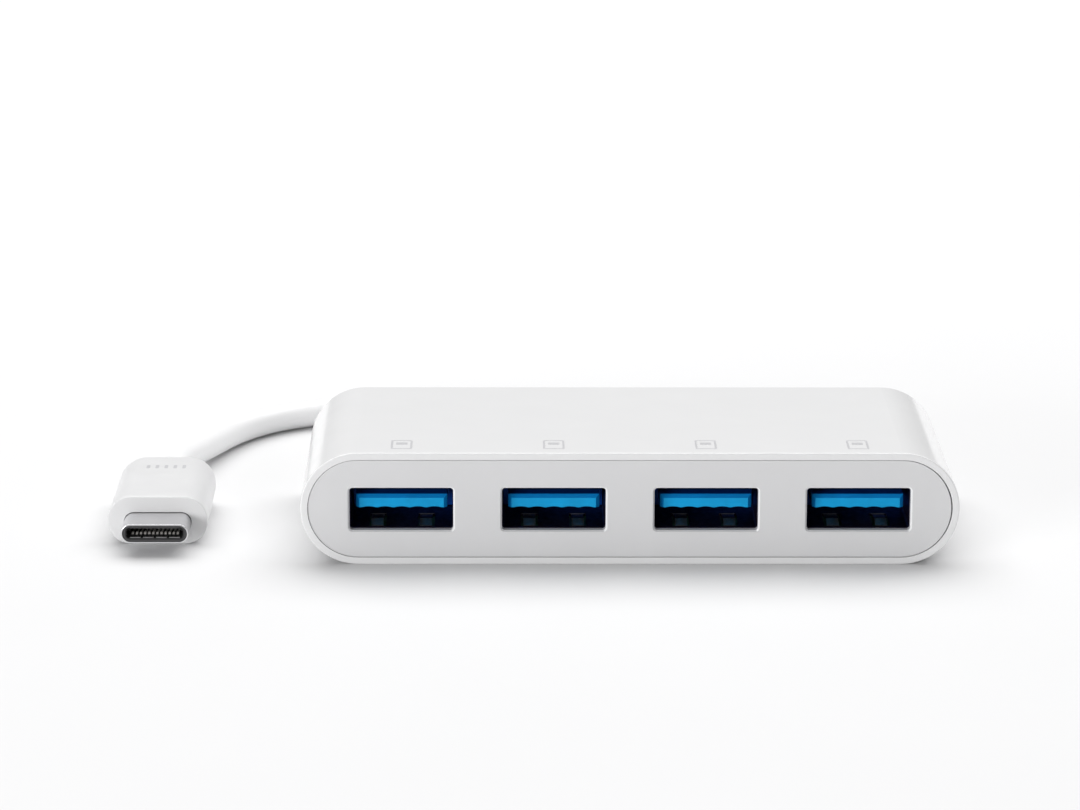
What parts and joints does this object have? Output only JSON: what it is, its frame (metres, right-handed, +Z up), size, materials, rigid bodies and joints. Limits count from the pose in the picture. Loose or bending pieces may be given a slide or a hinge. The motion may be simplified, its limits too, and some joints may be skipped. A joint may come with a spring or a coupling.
{
  "type": "usb hub",
  "caption": "Compact hub with a tube-shaped glossy body, a row of USB-A sockets in its front plate, and a short captive cable ending in a USB-C plug.",
  "frame": {"origin": "under the middle of the hub's body, on the surface it stands on", "axes": "+X to the right seen from the sockets, -Y out of the sockets, +Z up"},
  "size_m": [0.1041, 0.0711, 0.014],
  "materials": {
    "glossy_shell": "high-gloss moulded white plastic",
    "satin_plate": "satin moulded white plastic, a shade greyer than the tube",
    "port_metal": "nickel-plated sheet steel, dark inside",
    "port_blue": "blue moulded plastic",
    "contact_gold": "gold-plated copper alloy",
    "contact_bright": "bright-plated copper alloy",
    "black_insulator": "black moulded plastic",
    "carrier_grey": "dark grey moulded plastic",
    "circuit_board": "green solder mask",
    "component_metal": "bare tinned metal",
    "ferrite": "sintered dark grey ferrite",
    "fuse_green": "green polymer fuse body",
    "tantalum": "ochre moulded body",
    "ceramic": "tan ceramic",
    "cable_jacket": "smooth white flexible jacket",
    "wire_insulation": "thin coloured wire insulation",
    "plug_white": "semi-gloss white overmould",
    "plug_metal": "polished nickel-plated steel"
  },
  "bodies": {
    "root": {"shell_tube": "glossy_shell", "front_plate": "satin_plate", "rear_plate": "satin_plate", "port_shell_1": "port_metal", "port_insulator_1": "port_blue", "port_contacts_1": "contact_gold", "port_pin_comb_1": "black_insulator", "port_shell_2": "port_metal", "port_insulator_2": "port_blue", "port_contacts_2": "contact_gold", "port_pin_comb_2": "black_insulator", "port_shell_3": "port_metal", "port_insulator_3": "port_blue", "port_contacts_3": "contact_gold", "port_pin_comb_3": "black_insulator", "port_shell_4": "port_metal", "port_insulator_4": "port_blue", "port_contacts_4": "contact_gold", "port_pin_comb_4": "black_insulator", "main_board": "circuit_board", "hub_controller": "black_insulator", "flash_memory": "black_insulator", "crystal": "component_metal", "voltage_regulator": "black_insulator", "power_inductor": "ferrite", "resettable_fuse": "fuse_green", "bulk_capacitors": "tantalum", "decoupling_capacitors": "ceramic", "resistors": "black_insulator", "esd_arrays": "black_insulator", "strain_relief": "cable_jacket", "cable_entry": "cable_jacket", "cable_crimp": "component_metal", "wire_set": "wire_insulation", "usb_cable": "cable_jacket", "plug_cover": "plug_white", "plug_shell": "plug_metal", "plug_carrier": "carrier_grey", "plug_contacts_upper": "contact_bright", "plug_contacts_lower": "contact_bright", "plug_ground_springs": "component_metal", "plug_latches": "component_metal", "plug_board": "circuit_board", "plug_inner_can": "component_metal", "plug_cable_end": "cable_jacket"}
  },
  "joints": []
}
